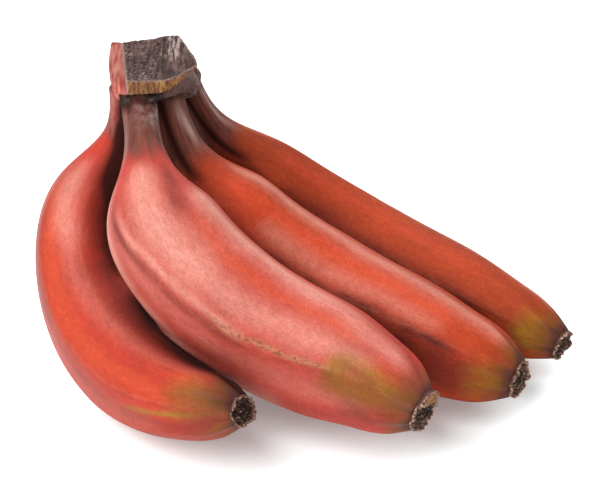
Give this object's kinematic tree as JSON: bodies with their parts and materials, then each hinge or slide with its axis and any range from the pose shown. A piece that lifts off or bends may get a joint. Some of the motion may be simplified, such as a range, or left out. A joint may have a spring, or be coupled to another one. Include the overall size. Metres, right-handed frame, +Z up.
{
  "type": "bunch of red bananas",
  "caption": "Small hand of plump red bananas joined at a cut crown, lying on their bellies with the crown raised and the blunt tips side by side.",
  "frame": {"origin": "the point on the resting surface below the centre of the bunch's box", "axes": "+X along the bunch's longest extent, towards the tips of the fingers; +Z up from the surface it lies on; -Y is the side it shows"},
  "size_m": [0.2085, 0.1598, 0.1162],
  "materials": {
    "skin": "satin fruit skin, red to salmon, olive at the tips and grey-brown at the necks",
    "crown": "dry, dark and mottled with a grey bloom, tan along the trimmed edge",
    "dried_blossom": "dry, fibrous and ragged, nearly black inside"
  },
  "bodies": {
    "root": {"crown": "crown", "banana_left": "skin", "banana_front": "skin", "banana_middle": "skin", "banana_rear": "skin", "blossom_left": "dried_blossom", "blossom_front": "dried_blossom", "blossom_middle": "dried_blossom", "blossom_rear": "dried_blossom"}
  },
  "joints": []
}
